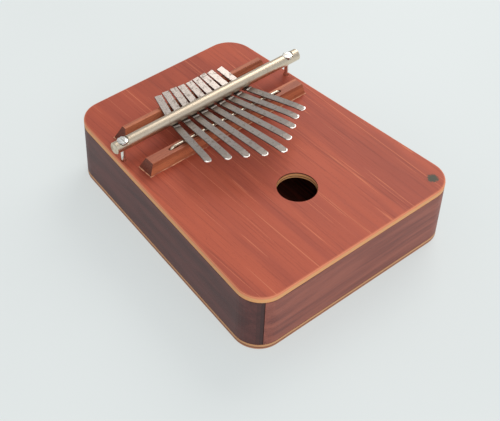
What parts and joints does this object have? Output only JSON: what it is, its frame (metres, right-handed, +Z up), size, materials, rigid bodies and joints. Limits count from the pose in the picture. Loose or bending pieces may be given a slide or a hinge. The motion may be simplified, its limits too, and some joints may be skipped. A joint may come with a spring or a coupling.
{
  "type": "kalimba",
  "caption": "Box kalimba: tapered wooden resonator with a round sound hole, fanned steel tines held between two wooden bridges by a screwed-down steel rod.",
  "frame": {"origin": "centre of the underside of the box, on the surface that it rests on", "axes": "+X across the box along the rod, towards the shorter right-hand tines; -Y towards the sound hole and the tines' tips; +Z up"},
  "size_m": [0.1564, 0.19, 0.0633],
  "materials": {
    "red_plywood": "satin red-brown veneer with pale layered edges",
    "dark_side_wood": "satin dark red-brown board with a grain along its length",
    "bridge_wood": "matt open-grained red-brown hardwood",
    "wire_steel": "drawn steel wire, slightly tarnished",
    "rod_steel": "polished steel rod with brown tarnish",
    "screw_steel": "bright slotted head",
    "tine_steel": "aged grey-brown spring steel with bright worn tips"
  },
  "bodies": {
    "box": {"top_plate": "red_plywood", "bottom_plate": "red_plywood", "side_board_left": "dark_side_wood", "side_board_right": "dark_side_wood", "end_board_front": "dark_side_wood", "end_board_rear": "dark_side_wood", "front_bridge": "bridge_wood", "rear_bridge": "bridge_wood", "bridge_wire": "wire_steel"},
    "rod": {"pressure_rod": "rod_steel"},
    "screw_left": {"clamp_screw_left": "screw_steel"},
    "screw_right": {"clamp_screw_right": "screw_steel"},
    "tine_body_1": {"tine_1": "tine_steel"},
    "tine_body_2": {"tine_2": "tine_steel"},
    "tine_body_3": {"tine_3": "tine_steel"},
    "tine_body_4": {"tine_4": "tine_steel"},
    "tine_body_5": {"tine_5": "tine_steel"},
    "tine_body_6": {"tine_6": "tine_steel"},
    "tine_body_7": {"tine_7": "tine_steel"},
    "tine_body_8": {"tine_8": "tine_steel"},
    "tine_body_9": {"tine_9": "tine_steel"}
  },
  "joints": [
    {"name": "rod_lift", "type": "slide", "parent": "box", "child": "rod", "axis": [0, 0, 1], "range_m": [0, 0.0015]},
    {"name": "screw_left_turn", "type": "hinge", "parent": "rod", "child": "screw_left", "pos_m": [-0.06497, 0.0423, 0.05835], "axis": [0, 0, 1], "range_deg": [0, 540]},
    {"name": "screw_right_turn", "type": "hinge", "parent": "rod", "child": "screw_right", "pos_m": [0.06497, 0.0423, 0.05835], "axis": [0, 0, 1], "range_deg": [0, 540]},
    {"name": "tine_1_tune", "type": "slide", "parent": "box", "child": "tine_body_1", "axis": [-0.2143, -0.9768, 0], "range_m": [-0.001, 0.001]},
    {"name": "tine_2_tune", "type": "slide", "parent": "box", "child": "tine_body_2", "axis": [-0.1428, -0.9897, 0], "range_m": [-0.001, 0.001]},
    {"name": "tine_3_tune", "type": "slide", "parent": "box", "child": "tine_body_3", "axis": [-0.0967, -0.9953, 0], "range_m": [-0.001, 0.001]},
    {"name": "tine_4_tune", "type": "slide", "parent": "box", "child": "tine_body_4", "axis": [-0.056, -0.9984, 0], "range_m": [-0.001, 0.001]},
    {"name": "tine_5_tune", "type": "slide", "parent": "box", "child": "tine_body_5", "axis": [-0.007, -1, 0], "range_m": [-0.001, 0.001]},
    {"name": "tine_6_tune", "type": "slide", "parent": "box", "child": "tine_body_6", "axis": [0.05, -0.9987, 0], "range_m": [-0.001, 0.001]},
    {"name": "tine_7_tune", "type": "slide", "parent": "box", "child": "tine_body_7", "axis": [0.1086, -0.9941, 0], "range_m": [-0.001, 0.001]},
    {"name": "tine_8_tune", "type": "slide", "parent": "box", "child": "tine_body_8", "axis": [0.1554, -0.9879, 0], "range_m": [-0.001, 0.001]},
    {"name": "tine_9_tune", "type": "slide", "parent": "box", "child": "tine_body_9", "axis": [0.188, -0.9822, 0], "range_m": [-0.001, 0.001]}
  ]
}
